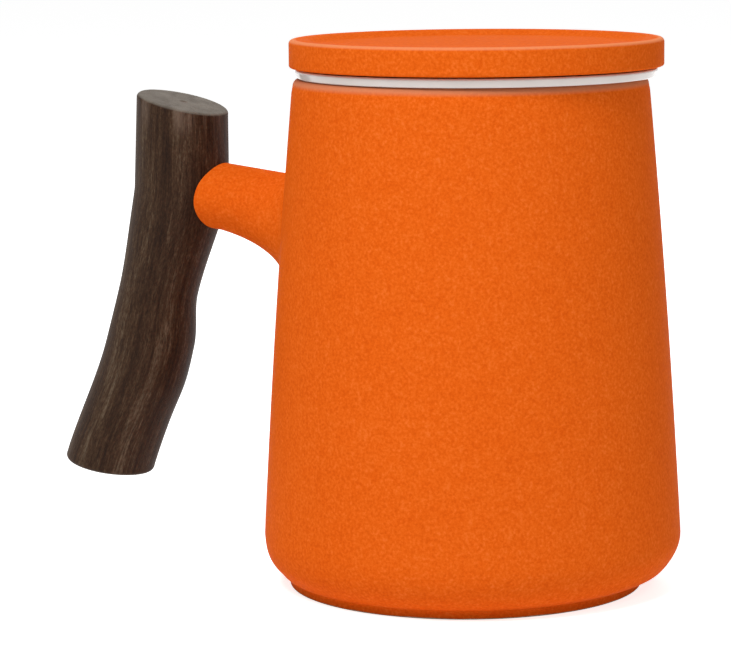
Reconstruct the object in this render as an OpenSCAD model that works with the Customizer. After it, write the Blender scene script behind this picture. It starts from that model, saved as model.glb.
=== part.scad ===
// Lidded tea mug. A tapered ceramic body carries a wooden grip on a saddle-ended stub,
// an infuser hangs from the rim by its flange, and a flat lid rests on the flange.
// Millimetres, +Z up. The origin is the centre of the foot ring, on the table, and the
// handle lies along -X.

/* [Mug body] */
// Height of the rim above the table
rim_h = 115.4; // [105:0.2:130]
// Outer radius at the rim
rim_r = 40; // [38:0.5:44]
// Largest outer radius, at the top of the rounded base edge
base_r = 47.5; // [45:0.1:52]
// How far the wall swells past a straight cone at half height
wall_swell = 0.5; // [0:0.05:1.5]
// Thickness of the wall
wall = 4; // [3.5:0.25:4.5]
// Thickness of the floor above the underside
floor_t = 5.5; // [4:0.5:8]
// Radius of the rounded lip, on both edges of the rim
lip_round = 1.6; // [0.8:0.1:1.8]
// Height of the rounded base edge
base_round_h = 10.2; // [6:0.2:14]
// Width of the rounded base edge
base_round_w = 9; // [5:0.2:10]
// Radius of the round between the inner wall and the floor
inner_round = 11; // [6:0.5:16]

/* [Foot ring] */
// Outer radius of the foot ring
foot_r = 40.2; // [36:0.2:41]
// Height of the foot ring, and so of the underside inside it
foot_h = 1.8; // [1.2:0.1:3]
// Width of the ring that stands on the table
foot_w = 4; // [3:0.25:8]
// Bevel on the foot ring's edges
foot_bevel = 0.4; // [0.2:0.1:0.6]
// How far the foot ring sits off the mug's axis
foot_shift = 1.6; // [0:0.1:1.8]
// Direction of that shift, from +X towards +Y
foot_shift_angle = -154; // [-180:1:180]

/* [Handle stub] */
// Height of the stub's axis where it leaves the wall
stub_h = 83.7; // [70:0.1:90]
// Radius of the stub
stub_r = 8.1; // [7:0.1:9]
// Angle by which the stub rises outwards
stub_rise = 6.5; // [0:0.5:12]
// How far the blend at the stub's root runs along the stub and up the wall, on top
blend_top = 5.5; // [3:0.5:9]
// How far the same blend runs along the stub underneath
blend_out = 22; // [12:0.5:23]
// How far it runs down the wall
blend_low = 20; // [12:0.5:21]

/* [Wooden grip] */
// Distance from the mug's axis to the grip's, where the stub meets it
grip_reach = 76.25; // [70:0.25:85]
// Radius of the grip where the stub meets it
grip_r = 11.3; // [10.4:0.1:13]
// Radius of the grip at its top end
grip_top_r = 11.2; // [9:0.1:13]
// Length of the grip above the stub's axis
grip_up = 20.5; // [18:0.5:28]
// Length of the grip below the stub's axis
grip_down = 68; // [55:0.5:75]
// How far the lower end stands out past the stub joint
grip_sweep = 19.4; // [8:0.2:28]
// How far the top end leans in towards the mug
grip_top_lean = 0.75; // [0:0.05:4]
// Tilt of the top end's face, down towards the mug
grip_top_tilt = 14.7; // [0:0.1:18]
// Tilt of the lower end's face, up towards the mug
grip_end_tilt = 10.4; // [0:0.1:16]
// How far the lower end kicks out past the sweep
grip_end_kick = 2.3; // [0:0.1:4]
// Radius of the waist under the stub
waist_r = 9.6; // [8:0.1:11]
// Distance of the waist below the stub's axis
waist_drop = 25; // [16:0.5:28]
// How far the waist bows away from the mug
waist_bow = 0.65; // [0:0.05:2]
// Radius at the knuckle below the waist
knuckle_r = 10.65; // [9:0.05:12]
// Distance of the knuckle below the stub's axis
knuckle_drop = 37.7; // [32:0.1:46]
// How far the knuckle bulges towards the mug
knuckle_bulge = 0.55; // [0:0.05:2]
// Radius of the grip at its lower end
grip_end_r = 10.95; // [9:0.05:13]
// Rounding of the edge at the top end
grip_top_round = 0.9; // [0.6:0.1:3]
// Rounding of the edge at the lower end
grip_end_round = 1.2; // [1:0.1:4]

/* [Handle stud] */
// Radius of the steel stud that joins the grip and the stub
stud_r = 3; // [2:0.25:3.5]
// How deep the stud goes into the stub, from the grip's surface
stud_in_stub = 13; // [8:0.5:14]
// How deep the stud goes into the grip
stud_in_grip = 15; // [10:0.5:17]
// Bevel on the stud's ends
stud_bevel = 0.6; // [0.3:0.1:1]
// Gap filled by glue round the stud and in the saddle
glue_gap = 0.12; // [0.05:0.01:0.3]

/* [Infuser] */
// Radial play of the infuser in the rim
infuser_play = 1.9; // [1.6:0.1:2.5]
// Depth of the infuser below the rim
infuser_depth = 66; // [50:1:85]
// Thickness of the infuser's wall and floor
infuser_wall = 2.4; // [2:0.1:3]
// Draft of the infuser's wall, in degrees
infuser_draft = 2; // [0.5:0.25:4]
// Radius of the round at the foot of the infuser
infuser_round = 7; // [4:0.5:10]
// Thickness of the flange
flange_t = 2.05; // [1.4:0.05:3]
// How far the flange's upper edge reaches past the rim
flange_over = 0.9; // [0:0.05:2]
// How far the flange's edge draws in from top to bottom
flange_under = 0.6; // [0.4:0.05:2]
// Rounding of the flange's edge
flange_round = 0.5; // [0.2:0.05:0.7]

/* [Infuser holes] */
// Radius of one steeping hole
hole_r = 1.2; // [0.8:0.1:1.5]
// Number of rings of holes round the centre hole of the floor
floor_rings = 3; // [1:1:3]
// Distance from one ring of holes to the next
floor_pitch = 6.6; // [5:0.2:7]
// Number of rows of holes round the wall
wall_rows = 3; // [1:1:4]
// Holes in one row
row_holes = 20; // [12:1:24]
// Distance from one row to the next
row_pitch = 7.5; // [6:0.25:8]
// Height of the lowest row above the infuser's foot
first_row = 11; // [9:0.5:16]

/* [Lid] */
// Thickness of the lid at its edge
lid_t = 6.3; // [5:0.1:9]
// How far the lid's edge reaches past the rim
lid_over = 2.1; // [1:0.1:4]
// Open line between the lid's edge and the flange
lid_gap = 0.35; // [0.2:0.05:1.5]
// Rounding of the lid's upper edge
lid_round = 1; // [0.5:0.1:2]
// Bevel on the lid's lower edge
lid_bevel = 0.5; // [0.3:0.1:2]
// Width of the raised border on top
border_w = 3.2; // [2:0.2:8]
// Depth of the dished top inside the border
dish_depth = 1.2; // [0.4:0.1:2]
// Width of the slope from the border down to the dish
dish_slope = 4; // [2:0.5:8]
// Depth of the ring that locates the lid in the infuser
spigot_depth = 6; // [4:0.5:10]
// Thickness of the locating ring
spigot_wall = 3; // [2.4:0.1:4]
// Radial play of the locating ring in the infuser
spigot_play = 0.9; // [0.5:0.1:1.5]
// Thickness of the lid over the hollow in its underside
lid_crown = 4.4; // [3.2:0.1:4.8]

/* [Seating] */
// Gap left between faces that rest on each other
seat_gap = 0.1; // [0.05:0.01:0.15]
// How far the infuser and the lid sit off the mug's axis, within their play
seat_shift = 1.3; // [0:0.1:1.4]
// Direction of that shift, from +X towards +Y
seat_shift_angle = 26; // [-180:1:180]

/* [Hidden] */

// Sides of a full turn on round forms, and of the grip's section
turn_sides = 96;
hole_sides = 20;
grip_sides = 28;
stub_sides = 36;
// Steps along the wall's curve, a quarter round, the stub's blend and the grip
wall_steps = 14;
round_steps = 8;
blend_steps = 8;
grip_steps = 26;
// Overshoot that lets a cut run clear of a face
cut = 1;

// Mug body
base_top = foot_h + base_round_h;
floor_h = foot_h + floor_t;
rim_in_r = rim_r - wall;
inner_top = floor_h + inner_round;
// How far the foot ring reaches up into the body
foot_root = 1;

// Grip joint: the stub's axis leaves the wall at stub_root and meets the grip's axis at joint_h
stub_root = wall_r(stub_h);
joint_h = stub_h + (grip_reach - stub_root) * tan(stub_rise);
stub_len = (grip_reach - stub_root) / cos(stub_rise);
// Share of the grip's radius at which the saddle's cheeks stop short of the grip's axis
saddle_reach = 0.45;
// How late the blend grows from its top to its low size, and how deep its edge dips into the wall
blend_power = 1.5;
blend_sink = 0.25;
// Share of the wall's thickness that the stub's root reaches into
root_depth = 0.6;
// How sharply the grip sweeps out below the joint
sweep_power = 1.14;

// Infuser
flange_h = rim_h + seat_gap;
flange_top = flange_h + flange_t;
flange_r = rim_r + flange_over;
infuser_r = rim_in_r - infuser_play;
infuser_foot = rim_h - infuser_depth;
infuser_foot_r = infuser_r - infuser_depth * tan(infuser_draft);

// Lid
lid_edge_h = flange_top + lid_gap;
lid_top = lid_edge_h + lid_t;
lid_r = rim_r + lid_over;
seat_h = flange_top + seat_gap;
dish_h = lid_top - dish_depth;
spigot_r = infuser_r - infuser_wall - spigot_play;
spigot_h = flange_top - spigot_depth;
// Width of the resting face between the locating ring and the lid's open edge
seat_w = 5.5;

// Outer radius of the wall at height z
function wall_r(z) =
    let (t = (z - base_top) / (rim_h - base_top))
    base_r + (rim_r - base_r) * t + 4 * wall_swell * t * (1 - t);

// A quarter of an ellipse about c, with half-axes a and b, from angle start to angle end
function quarter(c, a, b, start, end) =
    [for (i = [0:round_steps])
        let (w = start + (end - start) * i / round_steps)
        [c[0] + a * cos(w), c[1] + b * sin(w)]];

// Points on the wall, inset by gap, from height low to height high
function wall_points(gap, low, high) =
    [for (i = [0:wall_steps])
        let (z = low + (high - low) * i / wall_steps)
        [wall_r(z) - gap, z]];

function reversed(list) = [for (i = [len(list) - 1:-1:0]) list[i]];

// Half section of the body without its foot ring and stub
function mug_outline() = concat(
    [[0, foot_h]],
    quarter([base_r - base_round_w, base_top], base_round_w, base_round_h, -90, 0),
    wall_points(0, base_top + cut, rim_h - lip_round - cut),
    quarter([rim_r - lip_round, rim_h - lip_round], lip_round, lip_round, 0, 90),
    quarter([rim_in_r + lip_round, rim_h - lip_round], lip_round, lip_round, 90, 180),
    reversed(wall_points(wall, inner_top, rim_h - lip_round - cut)),
    quarter([wall_r(inner_top) - wall - inner_round, inner_top], inner_round, inner_round, 0, -90),
    [[0, floor_h]]);

module turned(points, sides = turn_sides) {
    rotate_extrude($fn = sides) polygon(points);
}

// The ring that the mug stands on, a little off the mug's axis
module foot_ring() {
    in_r = foot_r - foot_w;
    translate([foot_shift * cos(foot_shift_angle), foot_shift * sin(foot_shift_angle), 0])
        turned([[in_r, foot_bevel], [in_r + foot_bevel, 0], [foot_r - foot_bevel, 0], [foot_r, foot_bevel],
            [foot_r, foot_h + foot_root], [in_r, foot_h + foot_root]]);
}

// Puts its children on the stub's axis: +Z runs out along it, from the wall's surface
module on_stub_axis() {
    translate([-stub_root, 0, stub_h]) rotate([0, stub_rise - 90, 0]) children();
}

// A closed skin over rings of points, with a fan to a hub over each end
module loft(rings, first_hub, last_hub) {
    n = len(rings[0]);
    points = concat([for (ring = rings) each ring], [first_hub, last_hub]);
    last = (len(rings) - 1) * n;
    polyhedron(points = points, faces = concat(
        [for (i = [0:n - 1]) [i, (i + 1) % n, len(points) - 2]],
        [for (k = [0:len(rings) - 2]) for (i = [0:n - 1])
            let (a = k * n + i, b = k * n + (i + 1) % n)
            each [[a, b + n, b], [a, a + n, b + n]]],
        [for (i = [0:n - 1]) [last + (i + 1) % n, last + i, len(points) - 1]]));
}

// Point on the stub at angle w from its top and distance c along it
function stub_point(w, c) =
    [-stub_root + stub_r * cos(w) * sin(stub_rise) - c * cos(stub_rise),
     -stub_r * sin(w),
     stub_h + stub_r * cos(w) * cos(stub_rise) + c * sin(stub_rise)];

// Distance along the stub at which its line at angle w meets the wall
function wall_crossing(w, c = 0, tries = 4) =
    let (p = stub_point(w, c), miss = norm([p[0], p[1]]) - wall_r(p[2]))
    tries == 0 ? c : wall_crossing(w, c - miss / cos(stub_rise), tries - 1);

// Point in the wall at a turn from the handle's plane and a height, sunk below its surface
function wall_point(turn, z, sink) =
    let (r = wall_r(z) - sink)
    [-r * cos(turn), -r * sin(turn), z];

// Size of the root's blend at angle w, from the top's to the underside's
function blend_size(w, low) = blend_top + (low - blend_top) * pow((1 - cos(w)) / 2, blend_power);

// Where the blend's line at angle w ends on the wall
function blend_foot(w, sink) =
    let (p = stub_point(w, wall_crossing(w)), size = blend_size(w, blend_low),
         turn = asin(-p[1] / wall_r(p[2])) + size * sin(w) / wall_r(p[2]) * 180 / PI)
    wall_point(turn, p[2] + size * cos(w), sink);

// Ring of the root's blend: u is 0 where it leaves the stub and 1 where it meets the wall
function blend_ring(u) =
    [for (i = [0:stub_sides - 1])
        let (w = 360 * i / stub_sides, c = wall_crossing(w))
        (1 - u) * (1 - u) * stub_point(w, c + blend_size(w, blend_out))
            + 2 * u * (1 - u) * stub_point(w, c)
            + u * u * blend_foot(w, blend_sink)];

module stub_arm() {
    end = stub_len - saddle_reach * grip_r;
    root = wall * root_depth;
    loft(concat(
        [[for (i = [0:stub_sides - 1]) stub_point(360 * i / stub_sides, end)]],
        [for (k = [0:blend_steps]) blend_ring(k / blend_steps)],
        [[for (i = [0:stub_sides - 1]) blend_foot(360 * i / stub_sides, root)]]),
        [-stub_root - end * cos(stub_rise), 0, stub_h + end * sin(stub_rise)],
        [root - stub_root, 0, stub_h]);
}

// The stud, or with a gap the socket that it is glued into
module stud_shape(gap) {
    depth = stud_in_stub + stud_in_grip;
    bevel = gap > 0 ? 0 : stud_bevel;
    on_stub_axis() translate([0, 0, stub_len - grip_r - stud_in_stub - gap])
        turned([[0, 0], [stud_r - bevel + gap, 0], [stud_r + gap, bevel],
            [stud_r + gap, depth - bevel + 2 * gap], [stud_r - bevel + gap, depth + 2 * gap],
            [0, depth + 2 * gap]], 48);
}

module mug_body() {
    color([0.9, 0.4, 0.11]) difference() {
        union() {
            turned(mug_outline());
            foot_ring();
            stub_arm();
        }
        grip_loft(glue_gap);
        stud_shape(glue_gap);
    }
}

// The grip is a loft of rings. Each ring lies at a drop below the joint, negative above it.
function ease(t) = t * t * (3 - 2 * t);
grip_form = [
    // drop, radius, bulge towards the mug
    [-grip_up, grip_top_r, 0],
    [0, grip_r, 0],
    [waist_drop, waist_r, -waist_bow],
    [knuckle_drop, knuckle_r, knuckle_bulge],
    [grip_down, grip_end_r, -grip_end_kick]];

// Column k of grip_form at a drop, eased from one row to the next
function grip_value(drop, k, i = 0) =
    i == len(grip_form) - 2 || drop <= grip_form[i + 1][0]
        ? let (a = grip_form[i], b = grip_form[i + 1], t = (drop - a[0]) / (b[0] - a[0]))
            a[k] + (b[k] - a[k]) * ease(min(1, max(0, t)))
        : grip_value(drop, k, i + 1);

function grip_out(drop) =
    grip_reach - grip_value(drop, 2)
        + (drop > 0 ? grip_sweep * pow(drop / grip_down, sweep_power) : grip_top_lean * drop / grip_up);

// Tilt of a ring, turning from the joint's to that of each end's face
stub_tilt = atan(grip_top_lean / grip_up);
function grip_tilt(drop) =
    drop > 0
        ? stub_tilt + (grip_end_tilt - stub_tilt) * ease(drop / grip_down)
        : stub_tilt + (grip_top_tilt - stub_tilt) * -drop / grip_up;

// One ring of radius r, moved by along the grip's axis
function grip_ring(drop, r, along) =
    let (tilt = grip_tilt(drop))
    [for (i = [0:grip_sides - 1])
        let (w = 360 * i / grip_sides)
        [-grip_out(drop) - r * cos(w) * cos(tilt) - along * sin(tilt),
         r * sin(w),
         joint_h - drop + r * cos(w) * sin(tilt) - along * cos(tilt)]];

// The rings of a rounded end; side is -1 at the top and 1 at the lower end
function grip_end(drop, r, edge, gap, side) =
    [for (i = [0:round_steps / 2])
        let (w = 90 * i / (round_steps / 2))
        grip_ring(drop - side * edge, r - edge * (1 - cos(w)) + gap, side * (edge * sin(w) + gap))];

function middle(ring) = [for (k = [0:2]) [for (p = ring) p[k]] * [for (p = ring) 1] / len(ring)];

// The grip, grown by gap for the saddle that it lies in
module grip_loft(gap) {
    first = -grip_up + grip_top_round;
    last = grip_down - grip_end_round;
    rings = concat(
        reversed(grip_end(-grip_up, grip_top_r, grip_top_round, gap, -1)),
        [for (i = [1:grip_steps - 1])
            let (drop = first + (last - first) * i / grip_steps)
            grip_ring(drop, grip_value(drop, 1) + gap, 0)],
        grip_end(grip_down, grip_end_r, grip_end_round, gap, 1));
    loft(rings, middle(rings[0]), middle(rings[len(rings) - 1]));
}

module handle_grip() {
    color([0.29, 0.2, 0.16]) difference() {
        grip_loft(0);
        stud_shape(glue_gap);
    }
}

module handle_stud() {
    color([0.7, 0.7, 0.72]) stud_shape(0);
}

// Puts the infuser and the lid where they sit in the rim
module seated() {
    translate([seat_shift * cos(seat_shift_angle), seat_shift * sin(seat_shift_angle), 0]) children();
}

// Half section of the infuser before its holes are made
function infuser_outline() =
    let (in_foot_r = infuser_foot_r - infuser_wall, in_round = infuser_round - infuser_wall)
    concat(
        [[0, infuser_foot]],
        quarter([infuser_foot_r - infuser_round, infuser_foot + infuser_round], infuser_round, infuser_round,
            -90, 0),
        [[infuser_r, flange_h],
         [flange_r - flange_under - flange_round, flange_h],
         [flange_r - flange_under, flange_h + flange_round],
         [flange_r, flange_top - flange_round],
         [flange_r - flange_round, flange_top],
         [infuser_r - infuser_wall + flange_round, flange_top],
         [infuser_r - infuser_wall, flange_top - flange_round]],
        quarter([in_foot_r - in_round, infuser_foot + infuser_wall + in_round], in_round, in_round, 0, -90),
        [[0, infuser_foot + infuser_wall]]);

// Steeping holes: a centre hole and rings of holes in the floor
module floor_holes() {
    for (ring = [0:floor_rings])
        for (i = [0:max(1, 6 * ring) - 1])
            rotate(360 * i / max(1, 6 * ring)) translate([ring * floor_pitch, 0, infuser_foot - cut])
                cylinder(r = hole_r, h = infuser_wall + 2 * cut, $fn = hole_sides);
}

// Steeping holes: rows round the wall, each row turned half a step from the one below
module wall_holes() {
    start = infuser_foot_r - infuser_wall - infuser_round / 2;
    for (row = [0:wall_rows - 1])
        for (i = [0:row_holes - 1])
            rotate([0, 0, 360 * (i + (row % 2) / 2) / row_holes])
                translate([start, 0, infuser_foot + first_row + row * row_pitch]) rotate([0, 90, 0])
                    cylinder(r = hole_r, h = infuser_wall + infuser_round, $fn = hole_sides);
}

module infuser() {
    color([0.9, 0.88, 0.85]) seated() difference() {
        turned(infuser_outline());
        floor_holes();
        wall_holes();
    }
}

// Half section of the lid: dished top, open edge, resting face and locating ring
function lid_outline() = concat(
    [[0, dish_h - lid_crown],
     [spigot_r - spigot_wall, dish_h - lid_crown],
     [spigot_r - spigot_wall, spigot_h + spigot_wall / 4],
     [spigot_r - 3 * spigot_wall / 4, spigot_h],
     [spigot_r - spigot_wall / 4, spigot_h],
     [spigot_r, spigot_h + spigot_wall / 4],
     [spigot_r, seat_h],
     [spigot_r + seat_w, seat_h],
     [spigot_r + seat_w + lid_gap, lid_edge_h],
     [lid_r - lid_bevel, lid_edge_h],
     [lid_r, lid_edge_h + lid_bevel]],
    quarter([lid_r - lid_round, lid_top - lid_round], lid_round, lid_round, 0, 90),
    [for (i = [0:round_steps])
        let (t = i / round_steps)
        [lid_r - border_w - dish_slope * t, lid_top - dish_depth * ease(t)]],
    [[0, dish_h]]);

module lid() {
    color([0.9, 0.4, 0.11]) seated() turned(lid_outline());
}

mug_body();
handle_grip();
handle_stud();
infuser();
lid();
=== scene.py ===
from math import asin, atan, atan2, cos, exp, hypot, pi, radians, sin, sqrt, tan

import bmesh
import bpy
import numpy as np
from mathutils import Matrix, Vector
from mathutils.bvhtree import BVHTree
from mathutils.geometry import delaunay_2d_cdt
from mathutils.kdtree import KDTree


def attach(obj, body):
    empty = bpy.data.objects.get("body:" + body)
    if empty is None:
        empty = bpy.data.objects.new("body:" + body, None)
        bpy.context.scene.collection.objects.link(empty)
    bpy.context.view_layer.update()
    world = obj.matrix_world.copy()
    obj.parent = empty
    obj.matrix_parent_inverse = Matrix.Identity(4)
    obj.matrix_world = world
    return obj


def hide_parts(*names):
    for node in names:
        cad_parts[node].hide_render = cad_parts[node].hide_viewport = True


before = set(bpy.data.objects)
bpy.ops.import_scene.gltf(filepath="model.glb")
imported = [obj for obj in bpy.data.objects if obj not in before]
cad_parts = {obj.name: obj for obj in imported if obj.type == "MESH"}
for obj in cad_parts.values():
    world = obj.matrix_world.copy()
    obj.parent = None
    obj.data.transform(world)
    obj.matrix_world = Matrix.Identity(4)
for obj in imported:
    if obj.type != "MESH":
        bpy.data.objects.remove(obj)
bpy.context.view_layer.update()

MM = 0.001

# Sizes in millimetres, as in the part's source, apart from BLEND_OUT and BLEND_LOW, which are
# smaller here, and from small forms that only this script has, such as the belly's shift, the
# stub's flat top, the grip's knot and waves, some fillets and the holes' rounded edges.

# Mug body
RIM_H, RIM_R, BASE_R = 115.4, 40.0, 47.5
WALL_SWELL, WALL, FLOOR_T = 0.5, 4.0, 5.5
LIP_ROUND, BASE_ROUND_H, BASE_ROUND_W, INNER_ROUND = 1.6, 10.2, 9.0, 11.0
FOOT_R, FOOT_H, FOOT_W, FOOT_BEVEL = 40.2, 1.8, 4.0, 0.4
FOOT_IN_FILLET, FOOT_IN_ROUND, FOOT_OUT_FILLET = 0.5, 0.6, 0.4
FOOT_SHIFT, FOOT_SHIFT_ANGLE, FOOT_SHIFT_FADE = 1.6, radians(206), 2.2
BELLY_SHIFT, BELLY_SHIFT_H, BELLY_SHIFT_FADE = 0.45, 5.0, 6.0
BELLY_START = -68  # degrees, where the belly's curve leaves the foot
BASE_TOP = FOOT_H + BASE_ROUND_H
FLOOR_H = FOOT_H + FLOOR_T
LIP_H = RIM_H - LIP_ROUND
RIM_IN_R = RIM_R - WALL
INNER_TOP = FLOOR_H + INNER_ROUND

# Stub
STUB_H, STUB_R, STUB_RISE = 83.7, 8.1, radians(6.5)
BLEND_TOP, BLEND_OUT, BLEND_LOW, BLEND_POWER = 5.5, 21.5, 12.0, 1.5
BLEND_FILL, STUB_FLAT = 0.32, 0.48

# The stub's end: how far its edge is rounded, the least plain length before that, and the radii
# of the rings on its face
SADDLE_EDGE, SADDLE_LAND, SADDLE_RINGS = 0.6, 0.15, (6.6, 4.9)

# Grip
GRIP_REACH, GRIP_R, GRIP_TOP_R, GRIP_END_R = 76.25, 11.3, 11.2, 10.95
GRIP_UP, GRIP_DOWN, GRIP_SWEEP, SWEEP_POWER = 20.5, 68.0, 19.4, 1.14
GRIP_TOP_LEAN, GRIP_TOP_TILT = 0.75, radians(14.7)
GRIP_END_TILT, GRIP_END_KICK = radians(10.4), 2.3
WAIST_R, WAIST_DROP, WAIST_BOW = 9.6, 25.0, 0.65
KNUCKLE_R, KNUCKLE_DROP, KNUCKLE_BULGE = 10.65, 37.7, 0.55
GRIP_TOP_ROUND, GRIP_END_ROUND = 0.9, 1.2
KNOT_DROP, KNOT_LENGTH, KNOT_BULGE = 46.0, 6.0, 0.55
STUD_R, STUD_IN_STUB, STUD_IN_GRIP, GLUE_GAP = 3.0, 13.0, 15.0, 0.12
SOCKET_R = STUD_R + GLUE_GAP

# The waves of the grip's surface: (share, waves round, radians per mm of drop, start).
# WAVE_CREST, the sum of the shares, keeps the surface from standing proud of the solid.
WAVES = [(1.0, 2, 0.07, 1.1), (0.8, 3, -0.11, 0.4), (0.6, 1, 0.19, 0.0), (0.5, 5, 0.05, 2.0)]
WAVE_SIZE, WAVE_CREST, WAVE_FULL_R = 0.055, 2.9, 6

# Infuser
INFUSER_PLAY, INFUSER_DEPTH, INFUSER_WALL = 1.9, 66.0, 2.4
INFUSER_DRAFT, INFUSER_ROUND, FLAT_EDGE = radians(2), 7.0, 0.6
HOLE_R, HOLE_EDGE = 1.2, 0.4
FLOOR_RINGS, FLOOR_PITCH = 3, 6.6
WALL_ROWS, ROW_HOLES, ROW_PITCH, FIRST_ROW = 3, 20, 7.5, 11.0
FLANGE_T, FLANGE_OVER, FLANGE_UNDER, FLANGE_ROUND = 2.05, 0.9, 0.6, 0.5
FLANGE_FILLET, FLANGE_IN_ROUND = 0.5, 0.6
NECK = 2  # how far below the flange the wall's last ring is

# Lid
LID_T, LID_OVER, LID_GAP, LID_ROUND, LID_BEVEL = 6.3, 2.1, 0.35, 1.0, 0.5
BORDER_W, DISH_DEPTH, DISH_SLOPE, LID_CROWN = 3.2, 1.2, 4.0, 4.4
SPIGOT_DEPTH, SPIGOT_WALL, SPIGOT_PLAY = 6.0, 3.0, 0.9
CROWN_FILLET, SEAT_FILLET, SEAT_ROUND, SEAT_W = 1.5, 0.4, 0.3, 5.5
SEAT_GAP, SEAT_SHIFT, SEAT_SHIFT_ANGLE = 0.1, 1.3, radians(26)

FLANGE_H = RIM_H + SEAT_GAP
FLANGE_TOP = FLANGE_H + FLANGE_T
FLANGE_R = RIM_R + FLANGE_OVER
INFUSER_R = RIM_IN_R - INFUSER_PLAY
INFUSER_FOOT = RIM_H - INFUSER_DEPTH
INFUSER_FOOT_R = INFUSER_R - INFUSER_DEPTH * tan(INFUSER_DRAFT)
LID_EDGE_H = FLANGE_TOP + LID_GAP
LID_TOP = LID_EDGE_H + LID_T
LID_R = RIM_R + LID_OVER
SEAT_H = FLANGE_TOP + SEAT_GAP
DISH_H = LID_TOP - DISH_DEPTH
SPIGOT_R = INFUSER_R - INFUSER_WALL - SPIGOT_PLAY
SPIGOT_H = FLANGE_TOP - SPIGOT_DEPTH
SEATED = (SEAT_SHIFT * cos(SEAT_SHIFT_ANGLE), SEAT_SHIFT * sin(SEAT_SHIFT_ANGLE))

# How fine the meshes are
SIDES, GRIP_SIDES, INFUSER_SIDES, HOLE_SIDES, BORE_SIDES = 192, 112, 360, 32, 48
BELLY_STEPS, LIP_STEPS, INNER_STEPS = 20, 6, 12
LOW_ROWS, TOP_ROWS, INSIDE_ROWS, DISC_RINGS = 14, 6, 24, 6
GRIP_ROWS, GRIP_END_RINGS, GRIP_END_ARC = 120, 7, 9
WALL_RINGS, BLEND_RINGS, STUB_RINGS, EDGE_RINGS = 8, 20, 8, 6
CORNER_STEPS, FINE_STEPS, NECK_ROWS, DISH_ROWS = 8, 12, 12, 12
STUB_SAMPLES, WALL_TRIES = 720, 4

# Where along the stub the search for the grip starts, and how far it goes
LANDING_FROM, LANDING_REACH = 8, 60

# Points closer than this, in metres, become one
WELD = 5e-6

# The window in the body's rings that the stub fills: half its width in sides, and its heights
WINDOW_HALF, WINDOW_LOW, WINDOW_HIGH, WINDOW_ROWS = 18, 47.5, 104.5, 38

# The window about an infuser's hole: half its width in sides and rows, and a row's height
HOLE_HALF, HOLE_STEP, HOLE_SLACK = 4, 0.575, 0.02

# The camera stands this far from the mug's axis, this high, at this turn from straight ahead
CAMERA_OUT, CAMERA_HIGH, CAMERA_TURN = 725.0, 161.2, radians(26)
CAMERA_YAW, CAMERA_PITCH, CAMERA_ROLL = -0.0332, -0.1397, -0.0087
LENS, SENSOR = 158.64, 36.0
CLIP_NEAR, CLIP_FAR = 0.05, 100


# ---------------------------------------------------------------- helpers

def ease(t):
    """A smooth step from 0 to 1."""
    t = min(1.0, max(0.0, t))
    return t * t * (3 - 2 * t)


def steps_to(a, b, count):
    """Evenly spaced values after a, the last of them b."""
    return [a + (b - a) * i / count for i in range(1, count + 1)]


def quadratic(a, b, c, u):
    """The point at u on the curve from a to c that bends towards b."""
    return a * (1 - u) ** 2 + b * 2 * u * (1 - u) + c * u ** 2


def aimed(place, axis):
    """The matrix of an object at a place with its Z along an axis."""
    return Matrix.Translation(place) @ axis.to_track_quat("Z", "Y").to_matrix().to_4x4()


def add_object(name, data):
    made = bpy.data.objects.new(name, data)
    bpy.context.scene.collection.objects.link(made)
    return made


# ---------------------------------------------------------------- mesh building

class Skin:
    """A closed skin built from rings of points, in millimetres."""

    def __init__(self):
        self.points, self.faces = [], []

    def add(self, point):
        self.points.append(Vector(point))
        return len(self.points) - 1

    def ring(self, points):
        return [self.add(p) for p in points]

    def join(self, a, b):
        n = len(a)
        for i in range(n):
            k = (i + 1) % n
            self.faces.append((a[i], a[k], b[k], b[i]))

    def fan(self, ring, hub):
        c = self.add(hub)
        n = len(ring)
        for i in range(n):
            self.faces.append((ring[i], ring[(i + 1) % n], c))

    def strip(self, rings):
        """Adds rings of points in turn, joined each to the next; returns their indices."""
        made = [self.ring(r) for r in rings]
        for a, b in zip(made, made[1:]):
            self.join(a, b)
        return made

    def object(self, name, look, sharp=40):
        """The skin as an object, smooth but for edges of more than so many degrees."""
        mesh = bpy.data.meshes.new(name)
        mesh.from_pydata([p * MM for p in self.points], [], self.faces)
        work = bmesh.new()
        work.from_mesh(mesh)
        loose = [v for v in work.verts if not v.link_faces]
        bmesh.ops.delete(work, geom=loose, context="VERTS")
        bmesh.ops.recalc_face_normals(work, faces=work.faces)
        work.to_mesh(mesh)
        work.free()
        mesh.shade_smooth()
        mesh.set_sharp_from_angle(angle=radians(sharp))
        mesh.materials.append(look)
        return add_object(name, mesh)


def quarter(centre, a, b, start, end, steps):
    """Part of an ellipse about centre, between two angles in degrees."""
    turns = [radians(start + (end - start) * i / steps) for i in range(steps + 1)]
    return [(centre[0] + a * cos(t), centre[1] + b * sin(t)) for t in turns]


def rounded(corners, steps=5):
    """An outline of (r, z, radius) corners; each corner with a radius is rounded."""
    outline = []
    for i, (r, z, radius) in enumerate(corners):
        here = Vector((r, z))
        if not radius:
            outline.append((r, z))
            continue
        before = (Vector(corners[i - 1][:2]) - here).normalized()
        after = (Vector(corners[i + 1][:2]) - here).normalized()
        reach = radius / tan(before.angle(after) / 2)
        a, b = here + before * reach, here + after * reach
        centre = here + (before + after).normalized() * hypot(reach, radius)
        for k in range(steps + 1):
            out = (a - centre).lerp(b - centre, k / steps)
            outline.append(tuple(centre + out.normalized() * radius))
    return outline


def disc(r, z):
    """The outline of a flat face, from the first ring inside its edge to the axis."""
    return [(r * k / DISC_RINGS, z) for k in range(DISC_RINGS - 1, -1, -1)]


def turned(r, z, turn, shift=(0, 0)):
    """A point at radius r and height z, turned from the handle's plane."""
    return (shift[0] - r * cos(turn), shift[1] - r * sin(turn), z)


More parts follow.
